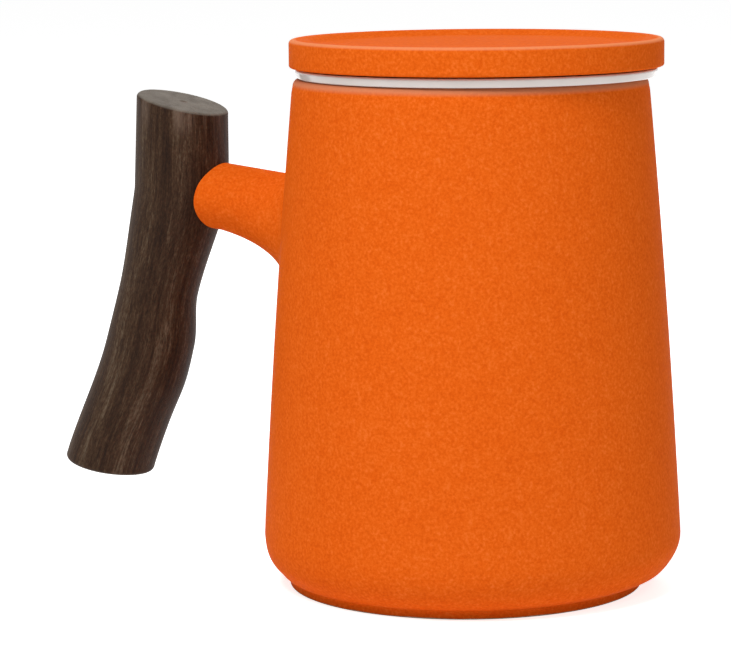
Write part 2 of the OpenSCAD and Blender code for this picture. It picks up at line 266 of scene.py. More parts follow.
def foot_place(z):
    """The centre of the body's ring: off the axis at the foot, less at the belly, on it above."""
    foot = 1 - ease((z - FOOT_H) / FOOT_SHIFT_FADE)
    belly = 1 - ease((z - BELLY_SHIFT_H) / BELLY_SHIFT_FADE)
    off = (FOOT_SHIFT - BELLY_SHIFT) * foot + BELLY_SHIFT * belly
    return off * cos(FOOT_SHIFT_ANGLE), off * sin(FOOT_SHIFT_ANGLE)


def seat_place(z):
    """The centre of the lid's and the infuser's rings, the same at every height."""
    return SEATED


def lathe(skin, outline, sides, place, left_open=()):
    """Turns an outline, each ring about its place; the left_open (row, side) cells get no face."""
    rows = []
    for r, z in outline:
        shift = place(z)
        if r < 1e-6:
            rows.append([skin.add((*shift, z))] * sides)
        else:
            rows.append(skin.ring([turned(r, z, 2 * pi * k / sides, shift) for k in range(sides)]))
    for j, (low, high) in enumerate(zip(rows, rows[1:])):
        for k in range(sides):
            n = (k + 1) % sides
            if (j, k) not in left_open:
                skin.faces.append(tuple(dict.fromkeys((low[k], low[n], high[n], high[k]))))
    return rows


def cells(sides, first, last, half, middle=0):
    """The cells between two rows, within half a window's width of the middle side."""
    across = range(middle - half, middle + half)
    return {(j, k % sides) for j in range(first, last) for k in across}


def wall_r(z):
    """Outer radius of the body's wall."""
    t = (z - BASE_TOP) / (RIM_H - BASE_TOP)
    return BASE_R + (RIM_R - BASE_R) * t + 4 * WALL_SWELL * t * (1 - t)


STUB_ROOT = wall_r(STUB_H)
STUB_LEN = (GRIP_REACH - STUB_ROOT) / cos(STUB_RISE)
STUB_AXIS = Vector((-cos(STUB_RISE), 0, sin(STUB_RISE)))
SOCKET_START = STUB_LEN - GRIP_R - STUD_IN_STUB - GLUE_GAP
JOINT_H = STUB_H + (GRIP_REACH - STUB_ROOT) * tan(STUB_RISE)


# ---------------------------------------------------------------- the grip

GRIP_FORM = [
    # drop, radius, bulge towards the mug
    (-GRIP_UP, GRIP_TOP_R, 0),
    (0, GRIP_R, 0),
    (WAIST_DROP, WAIST_R, -WAIST_BOW),
    (KNUCKLE_DROP, KNUCKLE_R, KNUCKLE_BULGE),
    (GRIP_DOWN, GRIP_END_R, -GRIP_END_KICK)]


def grip_value(drop, column):
    for a, b in zip(GRIP_FORM, GRIP_FORM[1:]):
        if drop <= b[0] or b is GRIP_FORM[-1]:
            return a[column] + (b[column] - a[column]) * ease((drop - a[0]) / (b[0] - a[0]))


def grip_out(drop):
    """The middle line's distance from the mug's axis."""
    if drop > 0:
        lean = GRIP_SWEEP * (drop / GRIP_DOWN) ** SWEEP_POWER
    else:
        lean = GRIP_TOP_LEAN * drop / GRIP_UP
    return GRIP_REACH - grip_value(drop, 2) + lean


def grip_tilt(drop):
    stub_tilt = atan(GRIP_TOP_LEAN / GRIP_UP)
    if drop <= 0:
        return stub_tilt + (GRIP_TOP_TILT - stub_tilt) * -drop / GRIP_UP
    return stub_tilt + (GRIP_END_TILT - stub_tilt) * ease(drop / GRIP_DOWN)


def grip_wobble(drop, turn):
    """How far the surface departs from the plain form: shallow waves, and a knot near the mug."""
    waves = sum(share * sin(count * turn + twist * drop + start)
                for share, count, twist, start in WAVES)
    knot = exp(-((drop - KNOT_DROP) / KNOT_LENGTH) ** 2) * max(0.0, -cos(turn))
    return WAVE_SIZE * (waves - WAVE_CREST) + KNOT_BULGE * knot


def grip_ring(drop, r, along):
    """One ring of the grip, tilted, and moved along the grip's line."""
    tilt = grip_tilt(drop)
    points = []
    for i in range(GRIP_SIDES):
        w = 2 * pi * i / GRIP_SIDES
        here = r + grip_wobble(drop, w) * min(1.0, r / WAVE_FULL_R)
        points.append((
            -grip_out(drop) - here * cos(w) * cos(tilt) - along * sin(tilt),
            here * sin(w),
            JOINT_H - drop + here * cos(w) * sin(tilt) - along * cos(tilt)))
    return points


def grip_rows(gap):
    """(drop, radius, along) of each ring, from the middle of the top to the middle of the end."""
    def end(drop, r, edge, side):
        drop -= side * edge
        flat = [(drop, (r - edge) * k / GRIP_END_RINGS + gap, side * (edge + gap))
                for k in range(1, GRIP_END_RINGS)]
        arc = [(drop, r - edge * (1 - cos(w)) + gap, side * (edge * sin(w) + gap))
               for w in (radians(90 - 90 * k / GRIP_END_ARC) for k in range(GRIP_END_ARC + 1))]
        return flat + arc

    first, last = -GRIP_UP + GRIP_TOP_ROUND, GRIP_DOWN - GRIP_END_ROUND
    middle = [(d, grip_value(d, 1) + gap, 0) for d in steps_to(first, last, GRIP_ROWS)[:-1]]
    return (end(-GRIP_UP, GRIP_TOP_R, GRIP_TOP_ROUND, -1) + middle
            + end(GRIP_DOWN, GRIP_END_R, GRIP_END_ROUND, 1)[::-1])


def grip_skin(gap):
    """The grip grown by a gap, and each point's place in the straightened wood."""
    skin, rows = Skin(), grip_rows(gap)
    rings = skin.strip([grip_ring(*row) for row in rows])
    for ring in (rings[0], rings[-1]):
        skin.fan(ring, sum((skin.points[i] for i in ring), Vector()) / len(ring))
    turns = [2 * pi * i / GRIP_SIDES for i in range(GRIP_SIDES)]
    grain = [(r * cos(w), r * sin(w), drop + along) for drop, r, along in rows for w in turns]
    grain += [(0, 0, rows[0][0]), (0, 0, rows[-1][0])]
    return skin, grain


# ---------------------------------------------------------------- the body and its stub

def stub_point(w, c, r=None):
    """Point on the stub at angle w from its top and distance c along it. Its top is a bit flat."""
    r = STUB_R - STUB_FLAT * ((1 + cos(w)) / 2) ** 2 if r is None else r
    return Vector((-STUB_ROOT + r * cos(w) * sin(STUB_RISE), -r * sin(w),
                   STUB_H + r * cos(w) * cos(STUB_RISE))) + c * STUB_AXIS


def wall_crossing(w):
    """Distance along the stub at which its line at angle w meets the wall."""
    c = 0.0
    for _ in range(WALL_TRIES):
        p = stub_point(w, c)
        c -= (hypot(p.x, p.y) - wall_r(p.z)) / cos(STUB_RISE)
    return c


def underside(w):
    """0 on top of the stub, 1 under it."""
    return ((1 - cos(w)) / 2) ** BLEND_POWER


def blend_size(w, low):
    """Size of the root's blend at angle w, from the top's to the underside's."""
    return BLEND_TOP + (low - BLEND_TOP) * underside(w)


def blend_foot(w):
    """(turn, height) where the blend's line at angle w ends on the wall."""
    p, size = stub_point(w, wall_crossing(w)), blend_size(w, BLEND_LOW)
    r = wall_r(p.z)
    return asin(-p.y / r) + size * sin(w) / r, p.z + size * cos(w)


def on_wall(turn, z):
    return turned(wall_r(z), z, turn)


WINDOW_HEIGHTS = [WINDOW_LOW] + steps_to(WINDOW_LOW, WINDOW_HIGH, WINDOW_ROWS)


def mug_outline():
    """Half section of the body, and the rows between which the stub's window lies."""
    def wall(heights, depth=0):
        return [(wall_r(z) - depth, z) for z in heights]

    belly = quarter((BASE_R - BASE_ROUND_W, BASE_TOP), BASE_ROUND_W, BASE_ROUND_H,
                    BELLY_START, 0, BELLY_STEPS)
    under = rounded([
        (0, FOOT_H, 0), (FOOT_R - FOOT_W, FOOT_H, FOOT_IN_FILLET),
        (FOOT_R - FOOT_W, 0, FOOT_IN_ROUND), (FOOT_R, 0, FOOT_BEVEL),
        (FOOT_R, FOOT_H, FOOT_OUT_FILLET), (*belly[0], 0)])[:-1]
    lip = (quarter((RIM_R - LIP_ROUND, LIP_H), LIP_ROUND, LIP_ROUND, 0, 90, LIP_STEPS)
           + quarter((RIM_IN_R + LIP_ROUND, LIP_H), LIP_ROUND, LIP_ROUND, 90, 180, LIP_STEPS))
    low = quarter((wall_r(INNER_TOP) - WALL - INNER_ROUND, INNER_TOP), INNER_ROUND, INNER_ROUND,
                  0, -90, INNER_STEPS)
    before = under + belly + wall(steps_to(BASE_TOP, WINDOW_LOW, LOW_ROWS)[:-1])
    outline = (before + wall(WINDOW_HEIGHTS) + wall(steps_to(WINDOW_HIGH, LIP_H, TOP_ROWS)[:-1])
               + lip + wall(steps_to(LIP_H, INNER_TOP, INSIDE_ROWS)[:-1], WALL) + low
               + disc(low[-1][0], FLOOR_H))
    return outline, len(before), len(before) + WINDOW_ROWS


def window_loop(rows, first, last):
    """The window's edge from its top middle round past the near side: [(vertex, turn, height)]."""
    m, step = WINDOW_HALF, 2 * pi / SIDES
    path = ([(last, k) for k in range(0, m)] + [(j, m) for j in range(last, first, -1)]
            + [(first, k) for k in range(m, -m, -1)] + [(j, -m) for j in range(first, last)]
            + [(last, k) for k in range(-m, 0)])
    return [(rows[j][k % SIDES], k * step, WINDOW_HEIGHTS[j - first]) for j, k in path]


def stub_angles(loop):
    """The stub's angle that lies in the same direction as each point of the window's edge."""
    middle = (WINDOW_LOW + WINDOW_HIGH) / 2
    samples = [2 * pi * i / STUB_SAMPLES for i in range(STUB_SAMPLES + 1)]
    seen = [blend_foot(w) for w in samples]
    heading = np.unwrap([atan2(t * STUB_ROOT, z - middle) for t, z in seen])
    wanted = np.unwrap([atan2(t * STUB_ROOT, z - middle) for _, t, z in loop])
    return [float(w) for w in np.interp(wanted, heading, samples)]


def wall_rings(loop, feet):
    """The wall from the window's edge to the foot of the blend."""
    return [[on_wall(t + (ft - t) * k / WALL_RINGS, z + (fz - z) * k / WALL_RINGS)
             for (_, t, z), (ft, fz) in zip(loop, feet)] for k in range(1, WALL_RINGS + 1)]


def blend_rings(angles, feet, tops):
    """The blend from its foot on the wall to its top on the stub."""
    curves = []
    for w, foot, top in zip(angles, feet, tops):
        start, low = stub_point(w, top), Vector(on_wall(*foot))
        bend = stub_point(w, wall_crossing(w))
        curves.append((start, bend.lerp((start + low) / 2, BLEND_FILL * underside(w)), low))
    return [[quadratic(*curve, 1 - k / BLEND_RINGS) for curve in curves]
            for k in range(1, BLEND_RINGS + 1)]


def stub_rings(angles, tops, reach):
    """The stub from the blend's top to where its end begins to round."""
    return [[stub_point(w, top + (r - top) * k / STUB_RINGS)
             for w, top, r in zip(angles, tops, reach)] for k in range(1, STUB_RINGS + 1)]


def edge_rings(angles, reach, ends, inner):
    """The rounded edge of the stub's end."""
    return [[quadratic(stub_point(w, r), p, q, k / EDGE_RINGS)
             for w, r, p, q in zip(angles, reach, ends, inner)] for k in range(1, EDGE_RINGS + 1)]


def mug_skin():
    skin = Skin()
    outline, first, last = mug_outline()
    rows = lathe(skin, outline, SIDES, foot_place, cells(SIDES, first, last, WINDOW_HALF))
    loop = window_loop(rows, first, last)
    angles = stub_angles(loop)
    feet = [blend_foot(w) for w in angles]
    grown, _ = grip_skin(GLUE_GAP)
    tree = BVHTree.FromPolygons(grown.points, grown.faces)

    def landing(w, r=None):
        """Where the stub's line at angle w meets the grip."""
        return tree.ray_cast(stub_point(w, LANDING_FROM, r), STUB_AXIS, LANDING_REACH)[0]

    ends = [landing(w) for w in angles]
    reach = [(p - stub_point(w, 0)).dot(STUB_AXIS) - SADDLE_EDGE for w, p in zip(angles, ends)]
    tops = [min(wall_crossing(w) + blend_size(w, BLEND_OUT), r - SADDLE_LAND)
            for w, r in zip(angles, reach)]
    inner = [landing(w, STUB_R - STUB_FLAT - SADDLE_EDGE) for w in angles]
    made = skin.strip(
        wall_rings(loop, feet) + blend_rings(angles, feet, tops)
        + stub_rings(angles, tops, reach) + edge_rings(angles, reach, ends, inner)
        + [[landing(w, r) for w in angles] for r in (*SADDLE_RINGS, SOCKET_R)]
        + [[stub_point(w, SOCKET_START, SOCKET_R) for w in angles]])
    skin.join([v for v, _, _ in loop], made[0])
    skin.fan(made[-1], stub_point(0, SOCKET_START, 0))
    return skin


# ---------------------------------------------------------------- the infuser and the lid

def infuser_out(z):
    """Outer radius of the infuser's wall at height z."""
    low = INFUSER_FOOT + INFUSER_ROUND
    return INFUSER_FOOT_R + (INFUSER_R - INFUSER_FOOT_R) * (z - low) / (FLANGE_H - low)


def infuser_in(z):
    return infuser_out(z) - INFUSER_WALL


def infuser_outline():
    """Half section from the flat underside to the flat floor, and the holes' middle rows."""
    holes = [INFUSER_FOOT + FIRST_ROW + ROW_PITCH * i for i in range(WALL_ROWS)]
    heights = [z + HOLE_STEP * i for z in holes for i in range(-HOLE_HALF, HOLE_HALF + 1)]
    heights += steps_to(heights[-1], FLANGE_H - NECK, NECK_ROWS)
    bottom, top = heights[0], heights[-1]
    floor, low_r = INFUSER_FOOT + INFUSER_WALL, INFUSER_FOOT_R - INFUSER_ROUND - FLAT_EDGE
    outer = rounded([
        (low_r, INFUSER_FOOT, 0), (infuser_out(INFUSER_FOOT), INFUSER_FOOT, INFUSER_ROUND),
        (infuser_out(bottom), bottom, 0)], FINE_STEPS)
    flange = rounded([
        (infuser_out(top), top, 0), (INFUSER_R, FLANGE_H, FLANGE_FILLET),
        (FLANGE_R - FLANGE_UNDER, FLANGE_H, FLANGE_ROUND), (FLANGE_R, FLANGE_TOP, FLANGE_ROUND),
        (infuser_in(FLANGE_TOP), FLANGE_TOP, FLANGE_IN_ROUND), (infuser_in(top), top, 0)],
        CORNER_STEPS)
    inner = rounded([
        (infuser_in(bottom), bottom, 0), (infuser_in(floor), floor, INFUSER_ROUND - INFUSER_WALL),
        (low_r, floor, 0)], FINE_STEPS)
    outline = (outer + [(infuser_out(z), z) for z in heights[1:-1]] + flange
               + [(infuser_in(z), z) for z in heights[-2:0:-1]] + inner)
    middles = [HOLE_HALF + (2 * HOLE_HALF + 1) * i for i in range(WALL_ROWS)]
    first, last = len(outer) - 1, len(outline) - len(inner)
    return outline, [(first + m, last - m, z) for m, z in zip(middles, holes)]


def hole_window(rows, row, side, up):
    """The window's edge about a hole, anticlockwise from its lower right corner from outside."""
    h = HOLE_HALF
    path = ([(h, i) for i in range(-h, h)] + [(-i, h) for i in range(-h, h)]
            + [(-h, -i) for i in range(-h, h)] + [(i, -h) for i in range(-h, h)])
    return [rows[row + up * high][(side + across) % INFUSER_SIDES] for across, high in path]


# (radius, depth under the surface) of a hole's rounded edge, from the surface in
HOLE_ROWS = [(HOLE_R + HOLE_EDGE * (1 - sin(a)), HOLE_EDGE * (1 - cos(a)))
             for a in (radians(22.5 * k) for k in range(5))]
HOLE_TURNS = [2 * pi * (i / HOLE_SIDES - 1 / 8) for i in range(HOLE_SIDES)]


def wall_hole(turn, z):
    """Rings of a hole through the wall, from outside to inside."""
    def ring(r, surface, depth):
        points = []
        for w in HOLE_TURNS:
            across, high = r * cos(w), z + r * sin(w)
            out = sqrt(surface(high) ** 2 - across ** 2) - depth
            points.append((SEATED[0] - out * cos(turn) + across * sin(turn),
                           SEATED[1] - out * sin(turn) - across * cos(turn), high))
        return points
    return ([ring(r, infuser_out, depth) for r, depth in HOLE_ROWS]
            + [ring(r, infuser_in, -depth) for r, depth in HOLE_ROWS[::-1]])


def floor_hole(x, y):
    """Rings of a hole through the floor, from below to above."""
    def ring(r, z):
        return [(x + r * cos(w), y + r * sin(w), z) for w in HOLE_TURNS]
    return ([ring(r, INFUSER_FOOT + depth) for r, depth in HOLE_ROWS]
            + [ring(r, INFUSER_FOOT + INFUSER_WALL - depth) for r, depth in HOLE_ROWS[::-1]])


def floor_middles():
    """The middles of the floor's holes: one in the centre, and rings of six, twelve and so on."""
    middles = [Vector(SEATED)]
    for ring in range(1, FLOOR_RINGS + 1):
        for i in range(6 * ring):
            w, out = pi * i / (3 * ring), ring * FLOOR_PITCH
            middles.append(Vector((SEATED[0] + out * cos(w), SEATED[1] + out * sin(w))))
    return middles


def pierced_floor(skin, rim, holes, middles):
    """Fills a flat floor between its rim and the edges of its holes."""
    corners = rim + [v for hole in holes for v in hole]
    flat = delaunay_2d_cdt([skin.points[v].to_2d() for v in corners], [], [], 0, 1e-6)
    # A triangle just outside a hole's many sides can have its centre a little inside the circle
    hole_r = HOLE_R + HOLE_EDGE - HOLE_SLACK
    for face in flat[2]:
        points = [corners[flat[3][v][0]] for v in face]
        centre = sum((skin.points[v].to_2d() for v in points), Vector((0, 0))) / 3
        if all((centre - m).length > hole_r for m in middles):
            skin.faces.append(tuple(points))


def infuser_skin():
    skin = Skin()
    outline, hole_rows = infuser_outline()
    holes = []
    left_open = set()
    for i, (outer, inner, z) in enumerate(hole_rows):
        for k in range(ROW_HOLES):
            side = round(INFUSER_SIDES * (k + i % 2 / 2) / ROW_HOLES)
            holes.append((outer, inner, z, side))
            for row in (outer, inner):
                left_open |= cells(INFUSER_SIDES, row - HOLE_HALF, row + HOLE_HALF, HOLE_HALF, side)
    rows = lathe(skin, outline, INFUSER_SIDES, seat_place, left_open)
    for outer, inner, z, side in holes:
        made = skin.strip(wall_hole(2 * pi * side / INFUSER_SIDES, z))
        skin.join(hole_window(rows, outer, side, 1), made[0])
        skin.join(made[-1], hole_window(rows, inner, side, -1))

    middles = floor_middles()
    tubes = [skin.strip(floor_hole(*m)) for m in middles]
    pierced_floor(skin, rows[0], [t[0] for t in tubes], middles)
    pierced_floor(skin, rows[-1], [t[-1] for t in tubes], middles)
    return skin


def lid_skin():
    slope = [(LID_R - BORDER_W - DISH_SLOPE * i / DISH_ROWS,
              LID_TOP - DISH_DEPTH * ease(i / DISH_ROWS)) for i in range(DISH_ROWS + 1)]
    under = rounded([
        (0, DISH_H - LID_CROWN, 0), (SPIGOT_R - SPIGOT_WALL, DISH_H - LID_CROWN, CROWN_FILLET),
        (SPIGOT_R - SPIGOT_WALL, SPIGOT_H, SPIGOT_WALL / 3), (SPIGOT_R, SPIGOT_H, SPIGOT_WALL / 3),
        (SPIGOT_R, SEAT_H, SEAT_FILLET), (SPIGOT_R + SEAT_W, SEAT_H, SEAT_ROUND),
        (SPIGOT_R + SEAT_W + LID_GAP, LID_EDGE_H, SEAT_ROUND), (LID_R, LID_EDGE_H, LID_BEVEL),
        (LID_R, LID_TOP, LID_ROUND), (*slope[0], 0)], CORNER_STEPS)
    skin = Skin()
    lathe(skin, under + slope[1:] + disc(slope[-1][0], DISH_H), SIDES, seat_place)
    return skin


# ---------------------------------------------------------------- materials

def rgb(red, green, blue):
    """An sRGB colour of 0 to 255 as the linear colour that the nodes take."""
    parts = [c / 255 for c in (red, green, blue)]
    return [c / 12.92 if c <= 0.04045 else ((c + 0.055) / 1.055) ** 2.4 for c in parts] + [1]


class Nodes:
    """Short calls for the nodes of one tree, which starts empty."""

    def __init__(self, tree):
        self.tree = tree
        tree.nodes.clear()

    def node(self, kind, inputs=None, **settings):
        made = self.tree.nodes.new(kind)
        for key, value in settings.items():
            setattr(made, key, value)
        for key, value in (inputs or {}).items():
            if isinstance(value, bpy.types.NodeSocket):
                self.tree.links.new(value, made.inputs[key])
            else:
                made.inputs[key].default_value = value
        return made

    def place(self):
        return self.node("ShaderNodeTexCoord").outputs["Object"]

    def stretched(self, vector, scale):
        return self.node("ShaderNodeMapping", {"Vector": vector, "Scale": scale}).outputs[0]

    def noise(self, vector, scale, detail=3.0, roughness=0.5, distortion=0.0):
        return self.node("ShaderNodeTexNoise", {
            "Vector": vector, "Scale": scale, "Detail": detail, "Roughness": roughness,
            "Distortion": distortion}).outputs[0]

    def math(self, operation, *values):
        return self.node("ShaderNodeMath", dict(enumerate(values)), operation=operation).outputs[0]

    def weighted(self, *terms):
        """The sum of (value, weight) terms."""
        parts = [self.math("MULTIPLY", value, weight) for value, weight in terms]
        total = parts[0]
        for part in parts[1:]:
            total = self.math("ADD", total, part)
        return total

    def remap(self, value, low, high, to_low=0.0, to_high=1.0, smooth=False):
        return self.node("ShaderNodeMapRange", {
            "Value": value, "From Min": low, "From Max": high, "To Min": to_low, "To Max": to_high},
            interpolation_type="SMOOTHSTEP" if smooth else "LINEAR").outputs[0]

    def spread(self, noise, to_low=0.0, to_high=1.0):
        """A noise, which is mostly 0.3 to 0.7, spread over a range."""
        return self.remap(noise, 0.3, 0.7, to_low, to_high)

    def mix(self, factor, a, b):
        return self.node("ShaderNodeMix", {0: factor, 6: a, 7: b}, data_type="RGBA").outputs[2]

    def blend(self, factor, a, b):
        return self.node("ShaderNodeMix", {0: factor, 2: a, 3: b}).outputs[0]

    def ramp(self, factor, stops):
        made = self.node("ShaderNodeValToRGB", {"Fac": factor})
        elements = made.color_ramp.elements
        while len(elements) < len(stops):
            elements.new(0.5)
        for element, (position, colour) in zip(elements, stops):
            element.position, element.color = position, colour
        return made.outputs[0]

    def bump(self, height, distance, strength=1.0):
        return self.node("ShaderNodeBump", {
            "Height": height, "Distance": distance, "Strength": strength}).outputs[0]


class Look(Nodes):
    """A material with one Principled shader. Constants are set straight on its sockets."""

    def __init__(self, name, **sockets):
        self.material = bpy.data.materials.new(name)
        self.material.use_nodes = True
        super().__init__(self.material.node_tree)
        self.shader = self.node("ShaderNodeBsdfPrincipled",
                                {key.replace("_", " "): value for key, value in sockets.items()})
        self.node("ShaderNodeOutputMaterial", {"Surface": self.shader.outputs[0]})

    def set(self, **sockets):
        for key, value in sockets.items():
            self.tree.links.new(value, self.shader.inputs[key.replace("_", " ")])
        return self.material


# Colours
GLAZE_TONES = [(0.35, rgb(216, 86, 16)), (0.46, rgb(223, 94, 19)),
               (0.54, rgb(227, 99, 23)), (0.67, rgb(233, 111, 40))]
# A painted highlight for the lid's top edge, and a paler, greyer tone for the top of the lip
GLAZE_HIGHLIGHT, LIP_TONE = rgb(240, 158, 112), rgb(204, 136, 100)
WHITE_GLAZE, WHITE_THIN = rgb(227, 223, 219), rgb(216, 210, 204)
CLAY, CLAY_DARK = rgb(205, 186, 160), rgb(176, 153, 126)
WOOD_TONES = [(0.36, rgb(30, 18, 12)), (0.46, rgb(50, 33, 22)),
              (0.54, rgb(67, 49, 35)), (0.64, rgb(98, 82, 66))]
WOOD_PALE, WOOD_PORE = rgb(104, 86, 74), rgb(30, 19, 14)
# The end grain's pale grey is a painted sheen
END_GRAIN_SHEEN_DARK, END_GRAIN_SHEEN = rgb(94, 86, 77), rgb(122, 114, 104)
STEEL_DARK, STEEL = rgb(178, 178, 180), rgb(206, 206, 208)

# Noises: (scale per metre, detail, roughness)
CLOUD, MOTTLE, GRIT, CLAY_GRAIN = (40, 2), (420, 3, 0.6), (1500, 2, 0.6), (1500, 3, 0.65)
WAVER, POOLED, PEEL, BRUSHING = (160, 3), (70, 2), (500, 2), (9000, 2)

# The walnut's noises: (stretch along the grain, scale per mm, detail, roughness, distortion)
FIGURE, STREAK = (0.09, 0.22, 3, 0.55, 0.6), (0.08, 1.1, 4, 0.62, 0.3)
FLECK, PORES = (0.4, 2.6, 2, 0.6, 0.0), (0.07, 4.2, 3, 0.6, 0.0)

# Roughness from and to, and the depth of the bumps in metres
GLAZE_ROUGH, WHITE_ROUGH, CLAY_ROUGH = (0.5, 0.6), (0.1, 0.18), (0.82, 0.95)
PORCELAIN_ROUGH, WOOD_ROUGH, STEEL_ROUGH = (0.08, 0.16), (0.5, 0.62), (0.28, 0.42)
GLAZE_DEPTH, PORCELAIN_DEPTH, WOOD_DEPTH, STEEL_DEPTH = 0.00003, 0.00002, 0.00008, 0.000005
GLAZE_SHEEN = {"IOR": 1.2, "Specular_IOR_Level": 0.02}

# In millimetres: the white glaze's line from the inside of the lip, how soft it is, how far the
# lines waver, and the height of the bare clay on the foot and on the lid's ring
WHITE_LINE, LINE_SOFT, WAVER_SIZE = 0.85, 0.12, 0.5
FOOT_CLAY, RING_CLAY, CLAY_FADE = 0.6, 0.9, 0.2

# The line leaves the middle of the wall LIP_START below the rim and is at the lip's place from
# LIP_END up. At the base it stays within BASE_LINE of the wall's inner side. The white starts
# between FLOOR_START and FLOOR_END under the floor's surface.
LIP_START, LIP_END, BASE_LINE, FLOOR_START, FLOOR_END = 12, 3, 1, 0.4, 0.1

# Paler bands, from and to, in millimetres from the edge, and how much shows through: a paler,
# greyer tone on the lip, a painted highlight on the lid's top edge, paler patches near the grip's
# top end
LIP_PALE, LIP_SHARE = (2.0, 0.6), 0.75
LID_HIGHLIGHT, LID_HIGHLIGHT_H, LID_HIGHLIGHT_SHARE = (1.9, 0.9), (0.8, 0.2), 0.6
WOOD_PALE_BAND, WOOD_SHARE = (7, 2), 0.6

# The end grain with its painted sheen, in millimetres from the grip's ends, and the noise values
# where the pale patches and the pores start and are full
END_GRAIN_EDGE, PALE_FIGURE, PORE_RANGE, PORE_SHARE = (0.5, 0.15), (0.5, 0.6), (0.56, 0.7), 0.75


def matte_glaze(look, place):
    """The orange matte glaze: (colour, roughness, height)."""
    cloud, mottle, grit = (look.noise(place, *values) for values in (CLOUD, MOTTLE, GRIT))
    colour = look.ramp(look.weighted((grit, 0.72), (mottle, 0.2), (cloud, 0.08)), GLAZE_TONES)
    height = look.math("ADD", look.math("MULTIPLY", grit, 0.6), mottle)
    return colour, look.spread(mottle, *GLAZE_ROUGH), height


def clay_below(look, place, height, top, glaze):
    """A glaze's (colour, roughness, height) with bare clay where a height is below the top."""
    grain = look.noise(place, *CLAY_GRAIN)
    clay = look.mix(look.spread(grain), CLAY_DARK, CLAY)
    bare = look.remap(height, top, top - CLAY_FADE, smooth=True)
    return (look.mix(bare, glaze[0], clay),
            look.blend(bare, glaze[1], look.remap(grain, 0.0, 1.0, *CLAY_ROUGH)),
            look.blend(bare, glaze[2], grain))


def millimetres(look, place, axis=(0, 0)):
    """(distance from an upright axis, height) in millimetres."""
    place = look.node("ShaderNodeVectorMath", {0: place, 1: (axis[0] * MM, axis[1] * MM, 0)},
                      operation="SUBTRACT").outputs[0]
    parts = look.node("ShaderNodeSeparateXYZ", {0: place}).outputs
    across = look.math("SQRT", look.math("ADD", look.math("MULTIPLY", parts[0], parts[0]),
                                         look.math("MULTIPLY", parts[1], parts[1])))
    return look.math("MULTIPLY", across, 1000.0), look.math("MULTIPLY", parts[2], 1000.0)


def white_side(look, out, high, waver):
    """1 inside the body and 0 outside. They part inside the wall, and on top of the lip."""
    near_lip = look.remap(high, RIM_H - LIP_START, RIM_H - LIP_END)
    slope = (BASE_R - RIM_R) / (RIM_H - BASE_TOP)
    line = look.math("ADD", look.math("MULTIPLY", high, -slope),
                     RIM_IN_R + WALL / 2 + slope * RIM_H)
    line = look.math("SUBTRACT", line, look.math("MULTIPLY", near_lip, WALL / 2 - WHITE_LINE))
    line = look.math("MINIMUM", line, BASE_R - WALL + BASE_LINE)
    past = look.math("SUBTRACT", look.math("ADD", out, look.math("MULTIPLY", waver, near_lip)),
                     line)
    return look.math("MULTIPLY", look.remap(past, LINE_SOFT, -LINE_SOFT, smooth=True),
                     look.remap(high, FLOOR_H - FLOOR_START, FLOOR_H - FLOOR_END))


def body_look():
    """Orange outside, white glaze inside from the lip down, and bare clay where the foot stands."""
    look = Look("mug_glaze", **GLAZE_SHEEN)
    place = look.place()
    out, high = millimetres(look, place)
    colour, roughness, height = matte_glaze(look, place)
    waver = look.math("MULTIPLY", look.noise(place, *WAVER), WAVER_SIZE)
    inside = white_side(look, out, high, waver)
    pooled = look.noise(place, *POOLED)
    white = look.mix(look.spread(pooled), WHITE_THIN, WHITE_GLAZE)
    # Paler and greyer towards the top of the lip
    paler_mask = look.remap(high, *(RIM_H - d for d in LIP_PALE), 0.0, LIP_SHARE, smooth=True)
    glaze = (look.mix(inside, look.mix(paler_mask, colour, LIP_TONE), white),
             look.blend(inside, roughness, look.spread(pooled, *WHITE_ROUGH)),
             look.blend(inside, height, look.math("MULTIPLY", pooled, 0.3)))
    colour, roughness, height = clay_below(
        look, place, look.math("ADD", high, waver), FOOT_CLAY, glaze)
    return look.set(Base_Color=colour, Roughness=roughness,
                    Normal=look.bump(height, GLAZE_DEPTH))


def lid_look():
    """The orange glaze with a painted highlight on the top's outer edge, and bare clay under the
    ring.
    """
    look = Look("lid_glaze", **GLAZE_SHEEN)
    place = look.place()
    out, high = millimetres(look, place, SEATED)
    colour, roughness, height = matte_glaze(look, place)
    waver = look.math("MULTIPLY", look.noise(place, *WAVER), WAVER_SIZE)
    # Painted highlight: the glaze is made paler along the top's outer edge, near the top
    paler_mask = look.math(
        "MULTIPLY", look.remap(out, *(LID_R - d for d in LID_HIGHLIGHT), 0.0, LID_HIGHLIGHT_SHARE, smooth=True),
        look.remap(high, *(LID_TOP - d for d in LID_HIGHLIGHT_H), smooth=True))
    colour, roughness, height = clay_below(
        look, place, look.math("ADD", high, waver), SPIGOT_H + RING_CLAY,
        (look.mix(paler_mask, colour, GLAZE_HIGHLIGHT), roughness, height))
    return look.set(Base_Color=colour, Roughness=roughness,
                    Normal=look.bump(height, GLAZE_DEPTH))


def porcelain_look():
    look = Look("infuser_porcelain", Specular_IOR_Level=0.5)
    place = look.place()
    pooled, peel = look.noise(place, *POOLED), look.noise(place, *PEEL)
    return look.set(Base_Color=look.mix(look.spread(pooled), WHITE_THIN, WHITE_GLAZE),
                    Roughness=look.spread(peel, *PORCELAIN_ROUGH),
                    Normal=look.bump(peel, PORCELAIN_DEPTH))


